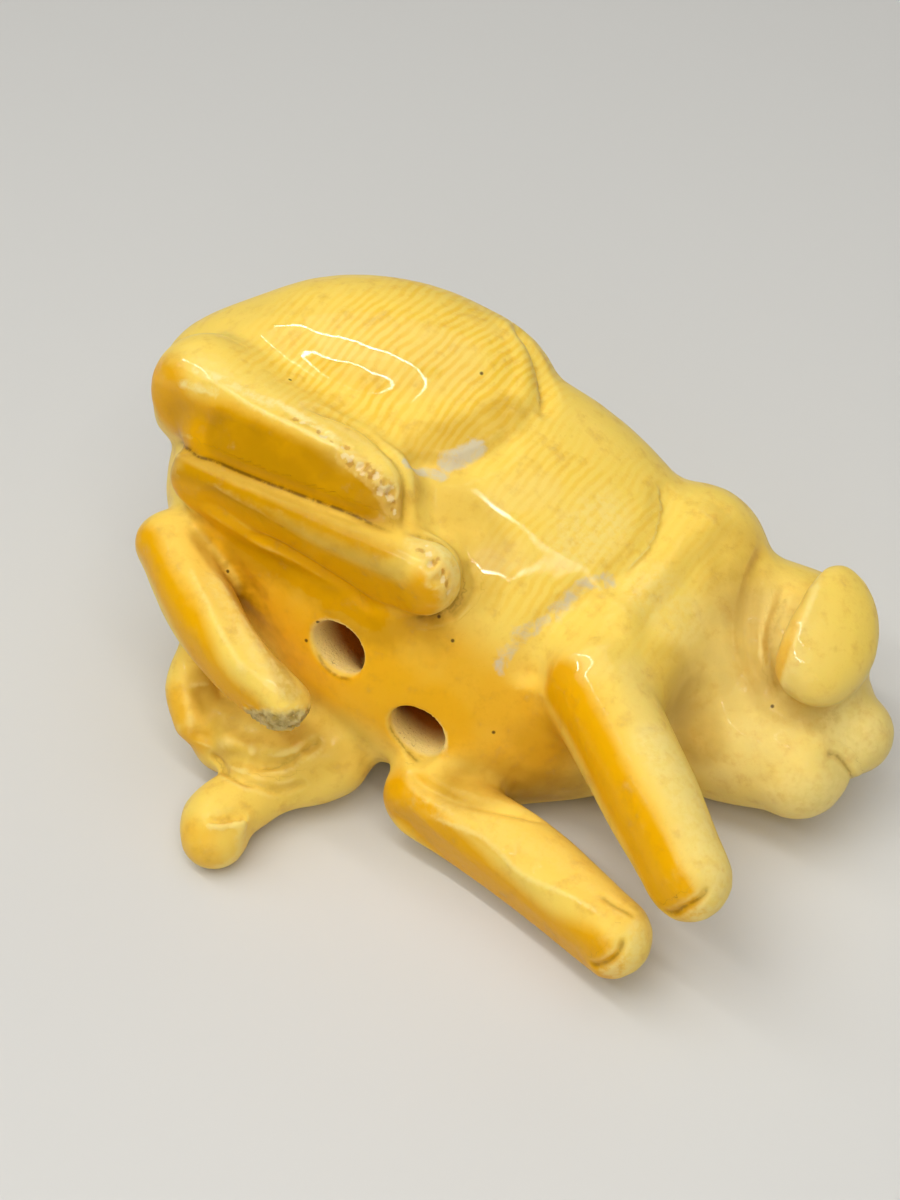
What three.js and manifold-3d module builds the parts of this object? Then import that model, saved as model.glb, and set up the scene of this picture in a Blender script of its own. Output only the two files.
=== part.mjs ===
// A carved toggle in the form of a crouching dog with a small pup at its hip, lying on its left side.
// Lengths are millimetres. The forms are placed in the carving frame: x from rump to nose, y towards
// the dog's right flank and z out of its belly. The finished carving is then tilted onto its side.
import * as THREE from "three";
import { mergeVertices } from "three/addons/utils/BufferGeometryUtils.js";
import Module from "manifold-3d";

// Driving dimensions
const TABLE_LEVEL = -18.4; // y + z of the surface that the carving lies on
const LYING_TILT = Math.PI / 4; // how far the belly is turned up from the table
const CORD_HOLE_RADIUS = 1.65;
const CORD_HOLE_DEPTH = 3; // how far the middle of the cord channel lies below the belly
const CORD_HOLE_INWARD = [0.46, 0.46, -0.76];
const CORD_HOLES = [[-6.7, -2.9, 0.7], [-2, -7.8, 0.4]]; // the middles of the two holes on the belly
const CARVING_LOW = [-22, -24, -24]; // the block that the forms are sampled in
const CARVING_HIGH = [29, 22, 14];
const SAMPLE_CELL = 0.55;
const SMOOTHING_ROUNDS = 2;
const TRIANGLE_BUDGET = 8400;
const LAYER_SHARE = 0.25; // how many of the edges may go in one layer
const LEAST_FACING_KEPT = 0.35; // cosine of the most that a triangle may turn

const BODY_LENGTH = 34;
const BODY_WIDTH = 25.6;
const BODY_DEPTH = 15.6;
const BODY_SLANT = -33; // degrees, the spine falls from the rump to the head

// Small vector helpers on plain [x, y, z] arrays
const minus = (a, b) => [a[0] - b[0], a[1] - b[1], a[2] - b[2]];
const along = (a, b, t) => [0, 1, 2].map((i) => a[i] + (b[i] - a[i]) * t);
const dot = (a, b) => a[0] * b[0] + a[1] * b[1] + a[2] * b[2];
const cross = (a, b) => [a[1] * b[2] - a[2] * b[1], a[2] * b[0] - a[0] * b[2], a[0] * b[1] - a[1] * b[0]];
const scaled = (a, s) => a.map((value) => value * s);
const unit = (a) => scaled(a, 1 / (Math.hypot(...a) || 1));

// Forms are functions that give the signed distance to their surface, negative inside.
function blend(a, b, width) {
  const overlap = Math.max(width - Math.abs(a - b), 0) / width;
  return Math.min(a, b) - overlap * overlap * width * 0.25;
}

function blendInner(a, b, width) {
  return -blend(-a, -b, width);
}

// An egg shape with its three half lengths, turned about x, y and z.
function ovoid(centre, radii, turn = [0, 0, 0]) {
  const angles = turn.map(THREE.MathUtils.degToRad);
  const m = new THREE.Matrix4().makeRotationFromEuler(new THREE.Euler(...angles, "ZYX")).elements;
  const axes = [0, 4, 8].map((column) => [m[column], m[column + 1], m[column + 2]]);
  return (point) => {
    const away = minus(point, centre);
    const x = dot(away, axes[0]) / radii[0];
    const y = dot(away, axes[1]) / radii[1];
    const z = dot(away, axes[2]) / radii[2];
    const near = Math.sqrt(x * x + y * y + z * z);
    const slope = Math.sqrt((x / radii[0]) ** 2 + (y / radii[1]) ** 2 + (z / radii[2]) ** 2);
    return slope < 1e-9 ? -Math.min(...radii) : (near * (near - 1)) / slope;
  };
}

// A rounded limb through balls given as [x, y, z, radius]. A flat is shaved along its whole length
// on the side that it faces, at a share of the radius from the middle.
function limb(balls, { flats = [], edge = 0.5 } = {}) {
  const stepsPerBall = 5;
  const places = balls.map((ball) => new THREE.Vector3(...ball.slice(0, 3)));
  const curve = new THREE.CatmullRomCurve3(places, false, "centripetal");
  const count = (balls.length - 1) * stepsPerBall;
  const bones = [];
  for (let i = 0; i <= count; i += 1) {
    const ball = Math.min(Math.floor(i / stepsPerBall), balls.length - 2);
    const share = THREE.MathUtils.smoothstep(i / stepsPerBall - ball, 0, 1);
    const radius = THREE.MathUtils.lerp(balls[ball][3], balls[ball + 1][3], share);
    bones.push({ at: curve.getPoint(i / count).toArray(), radius });
  }
  for (let i = 0; i < count; i += 1) {
    bones[i].run = minus(bones[i + 1].at, bones[i].at);
    bones[i].squared = dot(bones[i].run, bones[i].run);
    bones[i].swell = bones[i + 1].radius - bones[i].radius;
  }
  bones.pop();
  const shaves = flats.map(({ facing, share }) => ({ facing: unit(facing), share }));
  return (point) => {
    let nearest = Infinity;
    let closest;
    let closestShare = 0;
    for (const bone of bones) {
      const x = point[0] - bone.at[0];
      const y = point[1] - bone.at[1];
      const z = point[2] - bone.at[2];
      const run = bone.run;
      const share = Math.min(1, Math.max(0, (x * run[0] + y * run[1] + z * run[2]) / bone.squared));
      const dx = x - run[0] * share;
      const dy = y - run[1] * share;
      const dz = z - run[2] * share;
      const distance = Math.sqrt(dx * dx + dy * dy + dz * dz) - bone.radius - bone.swell * share;
      if (distance < nearest) {
        nearest = distance;
        closest = bone;
        closestShare = share;
      }
    }
    for (const { facing, share } of shaves) {
      const offset = minus(minus(point, closest.at), scaled(closest.run, closestShare));
      const radius = closest.radius + closest.swell * closestShare;
      nearest = blendInner(nearest, dot(offset, facing) - share * radius, edge);
    }
    return nearest;
  };
}

// A form with one side cut away by a plane through a point.
function shaved(form, through, facing, edge) {
  const way = unit(facing);
  return (point) => blendInner(form(point), dot(minus(point, through), way), edge);
}

// Several forms melted into one.
function joined(width, ...parts) {
  return (point) => parts.slice(1).reduce((sum, part) => blend(sum, part(point), width), parts[0](point));
}

const add = (form, width) => ({ form, width });
const carve = (form, width) => ({ form, width, carved: true });

// The dog
const SOLE = [-0.707, -0.5, 0.5]; // the way that the soles of the forelegs face
const HIND_SOLE = [-0.48, -0.645, 0.59];

function bodyForms() {
  const slant = [0, 0, BODY_SLANT];
  return [
    add(ovoid([1.5, 1.8, -4.8], [BODY_LENGTH / 2, BODY_WIDTH / 2, BODY_DEPTH / 2], slant)),
    add(ovoid([-10.4, 7, -6.4], [7.2, 7.4, 7]), 2.5),
    add(ovoid([9.4, -1.6, -5.8], [7.6, 8.2, 7], slant), 3),
    add(ovoid([-1, -5, -2.9], [7, 4.8, 3.9], slant), 1.5),
    add(ovoid([-7, -2, -9.4], [7.5, 5.2, 5]), 2.5),
  ];
}

function haunchForms() {
  const rump = ovoid([-13, 13, -7.4], [5.4, 5.2, 5.2]);
  const rightThigh = ovoid([-4, 13.3, -6], [10.7, 6.65, 6.9], [0, 0, -10]);
  const rightKnee = ovoid([2, 12.3, -5], [4.2, 4.2, 4.6], [0, 0, -20]);
  return [
    add(joined(2, rump, rightThigh, rightKnee), 0.6),
    add(limb([[-13.2, 0, -9.2, 3.6], [-10.4, -5.4, -7.8, 3.8], [-7.8, -8.6, -5.4, 3]]), 0.9),
  ];
}

function hindFootForms() {
  const sole = { flats: [{ facing: HIND_SOLE, share: 0.72 }] };
  const underRightFoot = [[-12, 12.4, -1.4, 2.4], [-4.8, 9.2, 0.2, 1.8]];
  const underTail = [[-13.8, 9.2, -0.9, 2.3], [-3.2, 4, 2.2, 2.1]];
  const rightFoot = [[-14.5, 12.6, -1.6, 3.4], [-10.4, 9.9, 0.8, 3], [-4.2, 6.5, 2.8, 2.5]];
  const rightHeel = [[-14.5, 12.4, -3, 2.8], [-16.3, 11.4, -3.6, 1.7]];
  const tail = [[-14.4, 7.2, 0, 2.2], [-8.7, 4.5, 2.1, 2.4], [-1.6, 1.4, 4.2, 2.4]];
  const leftHeel = [[-16.9, 3.3, -2.6, 2.2], [-14.7, -0.7, -0.2, 2.3]];
  const leftToes = [[-12.2, -3.9, 1.4, 2.1], [-9.9, -6, 2, 1.8]];
  return [
    add(limb(underRightFoot), 0.8),
    add(limb(underTail), 0.6),
    add(limb(rightFoot, sole), 0.8),
    add(limb(rightHeel), 1),
    add(limb(tail, sole), 0.7),
    add(limb([...leftHeel, ...leftToes], sole), 0.8),
  ];
}

function forelegForms() {
  const sole = { flats: [{ facing: SOLE, share: 0.8 }] };
  const rightUpperArm = [[14.8, 2.5, -4.9, 4.8], [11.6, -1.4, -2.8, 4.5], [9, -5, 0.8, 3.8]];
  const rightForearm = [[8.4, -5.3, 2.4, 3.1], [10.7, -10.2, 6, 2.9], [13, -15.2, 8.6, 2.5]];
  const leftUpperArm = [[4, -7.6, -5, 4], [-0.6, -11, -1.6, 2.6]];
  const leftForearm = [[-1.5, -11.8, -1, 2.6], [4, -15, 2, 2.7], [9, -18.9, 5.6, 2.45]];
  return [
    add(limb(rightUpperArm), 0.8),
    add(limb(rightForearm, sole), 0.6),
    add(limb(leftUpperArm), 1.5),
    add(limb(leftForearm, sole), 0.7),
  ];
}

function headForms() {
  const skull = ovoid([20.8, -3, -5.4], [5.2, 5.2, 5.2]);
  const throat = ovoid([17.2, -4.4, -4.6], [4.6, 4.8, 4.6]);
  const muzzle = limb([[20.4, -5.4, -3.6, 4.4], [24.1, -8, -2, 2.55]]);
  const jaw = limb([[16.2, -7.4, -4.6, 4.6], [20.7, -10, -1.2, 3.1]]);
  const eyes = [[24.7, -2.2, -3.1], [24.9, -4.6, -6.8]].map((place) => ovoid(place, [1, 1, 1]));
  const mouth = limb([
    [21.7, -8.8, 1.9, 0.35],
    [22.9, -9.6, 1.2, 0.4],
    [23.6, -10.9, -1, 0.45],
    [23.4, -11, -3.4, 0.4],
  ]);
  const leftEar = ovoid([20.4, -7.2, -9.4], [3.4, 4.2, 1.7], [-45, 0, -10]);
  const rightEar = ovoid([21.8, -1.9, 0.9], [3.6, 4.7, 2.1], [-24, 12, -23]);
  return [
    add(limb([[13, 0, -6, 6], [17.5, -2.2, -5.6, 5.4]]), 1.2),
    add(skull, 1.2),
    add(throat, 1.5),
    add(muzzle, 0.8),
    add(jaw, 1),
    ...eyes.map((eye) => add(eye, 0.15)),
    carve(mouth, 0.35),
    add(leftEar, 0.8),
    add(shaved(rightEar, [20.2, -1.3, 1], [-0.92, 0.37, -0.5], 0.8), 0.7),
  ];
}

function pupForms() {
  const head = ovoid([-13, -5.4, -8.8], [3.6, 3.6, 3.6]);
  const body = [[-10, -3.6, -10.6, 3.1], [-6, -2.6, -12, 3.2], [-2, -2.6, -12.6, 2.6]];
  const hindLeg = [[-4, -1, -14.4, 1.9], [1.2, -2.2, -14.6, 1.6]];
  const cheek = [[-13.6, -8.4, -5.4, 2.4], [-11.4, -8.2, -4.6, 2.2]];
  const arm = [[-7.6, -9.4, -4.4, 2.9], [-11, -11.2, -3.6, 2]];
  const paw = [[-14, -13.2, -2.2, 2.2], [-14.1, -14.1, -1.8, 2.1]];
  const ear = [[-15.6, -2.6, -6, 1.2], [-16, -5.4, -5, 1.6], [-15.6, -7.4, -4.4, 1.4]];
  const limbs = [body, hindLeg, cheek, [...arm, ...paw]].map((balls) => add(limb(balls), 0.8));
  return [add(head, 0.8), ...limbs, add(limb(ear), 0.6)];
}

const forms = [
  ...bodyForms(),
  ...haunchForms(),
  ...hindFootForms(),
  ...forelegForms(),
  ...headForms(),
  ...pupForms(),
];

function carving(point) {
  let distance = Infinity;
  for (const { form, width, carved } of forms) {
    if (carved) {
      distance = blendInner(distance, -form(point), width);
    } else {
      distance = distance === Infinity ? form(point) : blend(distance, form(point), width);
    }
  }
  return distance;
}

// The surface: each grid cube is split into six tetrahedra that share its long diagonal.
function polygonise(field, low, high, cell) {
  const size = [0, 1, 2].map((i) => Math.ceil((high[i] - low[i]) / cell) + 1);
  const strides = [1, size[0], size[0] * size[1]];
  const total = size[0] * size[1] * size[2];
  const place = (i) => [
    low[0] + (i % size[0]) * cell,
    low[1] + (Math.floor(i / strides[1]) % size[1]) * cell,
    low[2] + Math.floor(i / strides[2]) * cell,
  ];
  const values = Float64Array.from({ length: total }, (_, i) => field(place(i)) || 1e-9);
  const points = [];
  const triangles = [];
  const crossings = new Map();
  const crossing = (a, b) => {
    const key = Math.min(a, b) * total + Math.max(a, b);
    if (!crossings.has(key)) {
      const share = THREE.MathUtils.clamp(values[a] / (values[a] - values[b]), 0.02, 0.98);
      crossings.set(key, points.length);
      points.push(along(place(a), place(b), share));
    }
    return crossings.get(key);
  };
  const walks = [[0, 1, 2], [1, 2, 0], [2, 0, 1], [0, 2, 1], [1, 0, 2], [2, 1, 0]];
  const slice = (corners, mirrored) => {
    const inside = corners.filter((i) => values[i] < 0);
    const outside = corners.filter((i) => values[i] >= 0);
    if (!inside.length || !outside.length) {
      return;
    }
    const order = [...inside, ...outside].map((i) => corners.indexOf(i));
    let flips = mirrored ? 1 : 0;
    order.forEach((a, i) => order.slice(i + 1).forEach((b) => { flips += a > b ? 1 : 0; }));
    let loop;
    if (inside.length === 2) {
      loop = [[0, 0], [0, 1], [1, 1], [1, 0]].map(([a, b]) => crossing(inside[a], outside[b]));
    } else {
      loop = inside.flatMap((a) => outside.map((b) => crossing(a, b)));
    }
    if (flips % 2) {
      loop.reverse();
    }
    for (let i = 2; i < loop.length; i += 1) {
      triangles.push([loop[0], loop[i - 1], loop[i]]);
    }
  };
  for (let i = 0; i < total; i += 1) {
    const inGrid = [0, 1, 2].every((k) => Math.floor(i / strides[k]) % size[k] < size[k] - 1);
    if (inGrid) {
      walks.forEach(([a, b, c], w) => {
        const second = i + strides[a];
        const third = second + strides[b];
        slice([i, second, third, third + strides[c]], w >= 3);
      });
    }
  }
  return { points, triangles };
}

// Each point moves halfway to the middle of its neighbours, which takes the grid's steps off.
function smoothed({ points, triangles }, rounds) {
  let places = points;
  for (let round = 0; round < rounds; round += 1) {
    const sums = places.map(() => [0, 0, 0, 0]);
    for (const corners of triangles) {
      corners.forEach((a, i) => {
        const next = places[corners[(i + 1) % 3]];
        const sum = sums[a];
        sum[0] += next[0];
        sum[1] += next[1];
        sum[2] += next[2];
        sum[3] += 1;
      });
    }
    places = places.map((place, i) => along(place, scaled(sums[i], 1 / sums[i][3]), 0.5));
  }
  return { points: places, triangles };
}

// Collapses the edges that matter least to the shape, a layer of untouched edges at a time.
function simplified({ points, triangles }, budget) {
  const places = points.map((point) => [...point]);
  const quadrics = points.map(() => new Float64Array(10));
  for (const corners of triangles) {
    const [a, b, c] = corners.map((i) => places[i]);
    const normal = cross(minus(b, a), minus(c, a));
    const area = Math.hypot(...normal);
    const plane = [...unit(normal), 0];
    plane[3] = -dot(plane, a);
    let entry = 0;
    for (let row = 0; row < 4; row += 1) {
      for (let column = row; column < 4; column += 1) {
        corners.forEach((i) => { quadrics[i][entry] += plane[row] * plane[column] * area; });
        entry += 1;
      }
    }
  }
  const errorAt = (q, [x, y, z]) => q[0] * x * x + q[4] * y * y + q[7] * z * z + q[9]
    + 2 * (q[1] * x * y + q[2] * x * z + q[5] * y * z + q[3] * x + q[6] * y + q[8] * z);
  const bestPlace = (q, a, b) => {
    const rows = new THREE.Matrix3().set(q[0], q[1], q[2], q[1], q[4], q[5], q[2], q[5], q[7]);
    const middle = along(a, b, 0.5);
    const choices = [a, b, middle];
    if (Math.abs(rows.determinant()) > 1e-7) {
      const solved = new THREE.Vector3(-q[3], -q[6], -q[8]).applyMatrix3(rows.invert()).toArray();
      if (Math.hypot(...minus(solved, middle)) < Math.hypot(...minus(a, b))) {
        choices.push(solved);
      }
    }
    return choices.reduce((best, place) => (errorAt(q, place) < errorAt(q, best) ? place : best));
  };
  let live = triangles;
  while (live.length > budget) {
    const around = places.map(() => []);
    live.forEach((corners) => corners.forEach((i) => around[i].push(corners)));
    const edges = [];
    for (const corners of live) {
      corners.forEach((a, i) => {
        const b = corners[(i + 1) % 3];
        if (a < b) {
          const quadric = quadrics[a].map((value, entry) => value + quadrics[b][entry]);
          const place = bestPlace(quadric, places[a], places[b]);
          edges.push({ a, b, quadric, place, error: errorAt(quadric, place) });
        }
      });
    }
    edges.sort((first, second) => first.error - second.error);
    const touched = new Set();
    const dropped = new Set();
    let remaining = live.length;
    for (const { a, b, quadric, place } of edges.slice(0, Math.ceil(edges.length * LAYER_SHARE))) {
      const ring = [...around[a], ...around[b]];
      const neighbours = new Set(ring.flat());
      const beyond = around[b].flat();
      const shared = new Set(around[a].flat().filter((i) => i !== a && i !== b && beyond.includes(i)));
      const free = remaining > budget && shared.size === 2 && [...neighbours].every((i) => !touched.has(i));
      if (free && ring.every((corners) => keepsFacing(corners, a, b, place, places))) {
        neighbours.forEach((i) => touched.add(i));
        around[a].filter((corners) => corners.includes(b)).forEach((corners) => dropped.add(corners));
        around[b].forEach((corners) => { corners[corners.indexOf(b)] = dropped.has(corners) ? b : a; });
        places[a] = place;
        quadrics[a] = quadric;
        remaining -= 2;
      }
    }
    live = live.filter((corners) => !dropped.has(corners));
  }
  return { points: places, triangles: live };
}

// Whether a triangle still faces the same way once its corner a or b moves to the new place.
function keepsFacing(corners, a, b, place, places) {
  if (corners.includes(a) && corners.includes(b)) {
    return true;
  }
  const before = corners.map((i) => places[i]);
  const after = corners.map((i) => (i === a || i === b ? place : places[i]));
  const [old, moved] = [before, after].map(([p, q, r]) => unit(cross(minus(q, p), minus(r, p))));
  return dot(old, moved) > LEAST_FACING_KEPT;
}

// Solids for the joins and cuts
const wasm = await Module();
wasm.setup();

function solidOf(geometry) {
  const bare = new THREE.BufferGeometry();
  bare.setAttribute("position", geometry.getAttribute("position"));
  bare.setIndex(geometry.getIndex());
  const merged = mergeVertices(bare, 1e-4);
  const vertProperties = Float32Array.from(merged.getAttribute("position").array);
  const triVerts = Uint32Array.from(merged.getIndex().array);
  return new wasm.Manifold(new wasm.Mesh({ numProp: 3, vertProperties, triVerts }));
}

function geometryOf(solid) {
  const { vertProperties, triVerts } = solid.getMesh();
  const geometry = new THREE.BufferGeometry();
  geometry.setAttribute("position", new THREE.BufferAttribute(Float32Array.from(vertProperties), 3));
  geometry.setIndex(new THREE.BufferAttribute(Uint32Array.from(triVerts), 1));
  geometry.computeVertexNormals();
  return geometry;
}

function carvedBlock() {
  const sampled = polygonise(carving, CARVING_LOW, CARVING_HIGH, SAMPLE_CELL);
  const surface = simplified(smoothed(sampled, SMOOTHING_ROUNDS), TRIANGLE_BUDGET);
  const geometry = new THREE.BufferGeometry();
  geometry.setAttribute("position", new THREE.Float32BufferAttribute(surface.points.flat(), 3));
  geometry.setIndex(surface.triangles.flat());
  return geometry;
}

// One curved channel that enters the belly at the first hole and leaves it at the second.
function cordChannel(first, second) {
  const inward = new THREE.Vector3(...CORD_HOLE_INWARD).normalize();
  const apart = new THREE.Vector3(...minus(second, first));
  const clear = -2.5; // how far the cut starts outside the belly
  const bend = CORD_HOLE_DEPTH * 0.75;
  const stops = [[0, clear], [0, 0], [0.1, bend], [0.5, CORD_HOLE_DEPTH], [0.9, bend], [1, 0], [1, clear]];
  const path = stops.map(([share, depth]) => new THREE.Vector3(...first)
    .addScaledVector(apart, share)
    .addScaledVector(inward, depth));
  const circle = new THREE.Shape();
  circle.absarc(0, 0, CORD_HOLE_RADIUS, 0, Math.PI * 2);
  const extrudePath = new THREE.CatmullRomCurve3(path, false, "centripetal");
  const settings = { steps: 22, curveSegments: 9, bevelEnabled: false, extrudePath };
  return new THREE.ExtrudeGeometry(circle, settings);
}

// What lies below the table, so that the touching spots come out flat.
function belowTable() {
  const size = 80;
  const slab = new THREE.BoxGeometry(size, size, size);
  slab.translate(0, 0, -size / 2);
  return slab;
}

const lying = new THREE.Matrix4().makeRotationX(LYING_TILT);
lying.setPosition(0, 0, -TABLE_LEVEL * Math.sin(LYING_TILT));

const block = solidOf(carvedBlock().applyMatrix4(lying));
const channel = solidOf(cordChannel(...CORD_HOLES).applyMatrix4(lying));
const dog = geometryOf(block.subtract(channel).subtract(solidOf(belowTable())));

// The origin is on the table, under the middle of the carving.
dog.computeBoundingBox();
const middle = dog.boundingBox.getCenter(new THREE.Vector3());
dog.translate(-middle.x, -middle.y, 0);

const ivory = new THREE.MeshStandardMaterial({ color: 0xe2b64a, roughness: 0.28, metalness: 0 });
const carvedDog = new THREE.Mesh(dog, ivory);
carvedDog.name = "netsuke_dog";

const netsuke = new THREE.Group();
netsuke.add(carvedDog);
export default netsuke;
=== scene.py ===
import math
import bpy
import numpy as np
from mathutils import Matrix, Vector
from mathutils.bvhtree import BVHTree


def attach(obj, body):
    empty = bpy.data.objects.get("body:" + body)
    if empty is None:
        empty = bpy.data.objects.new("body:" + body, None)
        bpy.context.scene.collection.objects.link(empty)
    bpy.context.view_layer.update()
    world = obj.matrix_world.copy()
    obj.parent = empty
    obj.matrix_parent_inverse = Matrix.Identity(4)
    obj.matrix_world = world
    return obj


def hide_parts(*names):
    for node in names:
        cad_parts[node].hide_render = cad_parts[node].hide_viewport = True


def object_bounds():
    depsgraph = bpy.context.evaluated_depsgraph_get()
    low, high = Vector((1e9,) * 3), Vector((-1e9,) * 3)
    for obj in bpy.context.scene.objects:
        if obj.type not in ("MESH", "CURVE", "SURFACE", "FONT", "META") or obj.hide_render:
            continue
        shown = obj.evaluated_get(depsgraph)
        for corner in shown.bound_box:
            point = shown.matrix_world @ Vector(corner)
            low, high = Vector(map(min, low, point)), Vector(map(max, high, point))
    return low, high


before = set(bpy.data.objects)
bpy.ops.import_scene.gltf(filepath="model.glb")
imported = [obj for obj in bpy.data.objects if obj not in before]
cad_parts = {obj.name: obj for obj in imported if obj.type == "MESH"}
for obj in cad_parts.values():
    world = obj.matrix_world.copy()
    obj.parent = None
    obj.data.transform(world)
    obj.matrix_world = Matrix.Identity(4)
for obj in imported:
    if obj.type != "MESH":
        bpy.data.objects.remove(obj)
cadLow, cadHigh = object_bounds()
print("solid loaded", [round(v * 1000, 2) for v in cadHigh - cadLow], "mm")

# The carver's own frame: millimetres, the netsuke seen square on to its belly side before it is laid down.
stance = {
    "lyingTilt": 45,                            # degrees about X, from the carver's frame to the table
    "cornerToOrigin": (19.049, 19.688, 13.01),  # mm, from the solid's low corner to the carver's origin
    "soleFacing": (-0.707, -0.5, 0.5),          # the way the soles and the belly look
}
originPlace = cadLow + Vector(stance["cornerToOrigin"]) / 1000
layDown = Matrix.Rotation(math.radians(stance["lyingTilt"]), 4, "X")
carverToTable = Matrix.Translation(originPlace) @ layDown @ Matrix.Scale(0.001, 4)
tableToCarver = carverToTable.inverted()


def onTable(point):
    return carverToTable @ Vector(point)


def deselectAll():
    if bpy.context.object and bpy.context.object.mode != "OBJECT":
        bpy.ops.object.mode_set(mode="OBJECT")
    bpy.ops.object.select_all(action="DESELECT")


def pick(thing):
    deselectAll()
    thing.select_set(True)
    bpy.context.view_layer.objects.active = thing


def tint(red, green, blue):
    # screen tone 0-255 to linear colour
    def linear(value):
        value = value / 255
        return value / 12.92 if value <= 0.04045 else ((value + 0.055) / 1.055) ** 2.4
    return (linear(red), linear(green), linear(blue), 1)


studio = {
    "eyePlace": (0, 0, 118),            # mm in the carver's frame
    "lens": 60,                         # mm
    "filmHeight": 36,                   # mm
    "nearestSeen": 0.005,               # m
    "floorSize": 1.6,                   # m
    "floorTone": (214, 212, 206),
    "floorRoughness": 0.6,
    "skyTone": (225, 228, 232),
    "skyStrength": 0.17,
    "windowPlace": (-70, -80, 260),     # mm from the middle of the netsuke, on the table's axes
    "windowSize": (560, 110),
    "windowShift": -70,                 # along its own length
    "windowPower": 0.18,
    "barThickness": 7,                  # the window's bright edges
    "barPower": 0.0006,                 # W for each mm of bar
    "lowBarShare": 0.6,                 # how much of the lower edge is bright, from its right end
    "topPlace": (0, 20, 300),
    "topSize": (340, 300),
    "topPower": 0.3,
    "fillPlace": (-40, -260, 180),
    "fillSize": (220, 220),
    "fillPower": 0.13,
    "backPlace": (160, 220, 160),
    "backSize": (200, 140),
    "backPower": 0.05,
}


def makeCamera():
    bpy.ops.object.camera_add(location=onTable(studio["eyePlace"]))
    camera = bpy.context.object
    camera.name = "studio_camera"
    camera.rotation_euler = (math.radians(stance["lyingTilt"]), 0, 0)
    camera.data.lens = studio["lens"]
    camera.data.sensor_width = studio["filmHeight"]
    camera.data.clip_start = studio["nearestSeen"]
    bpy.context.scene.camera = camera


def softBox(name, place, size, power, shift=(0, 0, 0)):
    # an area lamp that looks at the netsuke, moved by shift in mm along its own axes
    middle = (cadLow + cadHigh) / 2
    spot = middle + Vector(place) / 1000
    turn = (middle - spot).to_track_quat("-Z", "Y")
    bpy.ops.object.light_add(type="AREA", location=spot + turn @ (Vector(shift) / 1000))
    lamp = bpy.context.object
    lamp.name = name
    lamp.rotation_euler = turn.to_euler()
    lamp.data.shape = "RECTANGLE"
    lamp.data.size = size[0] / 1000
    lamp.data.size_y = size[1] / 1000
    lamp.data.energy = power


def makeWindow():
    # a soft window with bright bars along its top, its lower edge and its right end
    place, (width, height), middle = studio["windowPlace"], studio["windowSize"], studio["windowShift"]
    bar, power = studio["barThickness"], studio["barPower"]
    lowWidth = width * studio["lowBarShare"]
    lowMiddle = middle + (width - lowWidth) / 2
    softBox("window", place, (width, height), studio["windowPower"], (middle, 0, 0))
    softBox("window_top_bar", place, (width, bar), power * width, (middle, height / 2, -1))
    softBox("window_end_bar", place, (bar, height), power * height, (middle + width / 2, 0, -1))
    softBox("window_low_bar", place, (lowWidth, bar), power * lowWidth, (lowMiddle, -height / 2, -1))


def makeStudio():
    side = studio["floorSize"]
    bpy.ops.mesh.primitive_plane_add(size=side, location=(0, 0, cadLow.z))
    floor = bpy.context.object
    floor.name = "pale_floor"
    paint = bpy.data.materials.new("pale_floor_paint")
    paint.use_nodes = True
    shader = paint.node_tree.nodes["Principled BSDF"]
    shader.inputs["Base Color"].default_value = tint(*studio["floorTone"])
    shader.inputs["Roughness"].default_value = studio["floorRoughness"]
    floor.data.materials.append(paint)
    sky = bpy.data.worlds.new("studio_sky")
    bpy.context.scene.world = sky
    sky.use_nodes = True
    background = sky.node_tree.nodes["Background"]
    background.inputs["Color"].default_value = tint(*studio["skyTone"])
    background.inputs["Strength"].default_value = studio["skyStrength"]
    makeWindow()
    for name in ("top", "fill", "back"):
        softBox(name + "_box", studio[name + "Place"], studio[name + "Size"], studio[name + "Power"])
    bpy.context.scene.view_settings.view_transform = "Standard"


makeCamera()
makeStudio()
print("studio ready")


block = {
    "mergeGap": 0.001,      # mm
    "cell": 0.2,            # mm
    "easing": 0.5,
    "firstEasing": 14,      # rounds of smoothing
    "secondEasing": 3,
    "triangles": 194000,    # at most, once it is finished
}


def makeBlock():
    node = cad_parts["netsuke_dog"]
    mesh = node.data.copy()
    mesh.transform(tableToCarver)
    mesh.materials.clear()
    piece = bpy.data.objects.new("netsuke_carving", mesh)
    bpy.context.scene.collection.objects.link(piece)
    pick(piece)
    bpy.ops.object.mode_set(mode="EDIT")
    bpy.ops.mesh.select_all(action="SELECT")
    bpy.ops.mesh.remove_doubles(threshold=block["mergeGap"])
    bpy.ops.object.mode_set(mode="OBJECT")
    return piece


def remesh(rounds):
    # an even mesh over the whole block, then smoothed
    pick(carving)
    carving.data.remesh_voxel_size = block["cell"]
    carving.data.remesh_voxel_adaptivity = 0
    carving.data.use_remesh_fix_poles = False
    bpy.ops.object.voxel_remesh()
    bpy.ops.object.modifier_add(type="SMOOTH")
    carving.modifiers[-1].factor = block["easing"]
    carving.modifiers[-1].iterations = rounds
    bpy.ops.object.modifier_apply(modifier=carving.modifiers[-1].name)
    bpy.ops.object.shade_smooth()
    print("block meshed", len(carving.data.vertices), "points")


carving = makeBlock()
remesh(block["firstEasing"])


def readPoints():
    spots = np.zeros(len(carving.data.vertices) * 3)
    carving.data.vertices.foreach_get("co", spots)
    return spots.reshape(-1, 3)


def readFacings():
    carving.data.update()
    facings = np.zeros(len(carving.data.vertices) * 3)
    carving.data.vertices.foreach_get("normal", facings)
    return facings.reshape(-1, 3)


def writePoints(spots):
    carving.data.vertices.foreach_set("co", spots.reshape(-1))
    carving.data.update()


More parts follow.
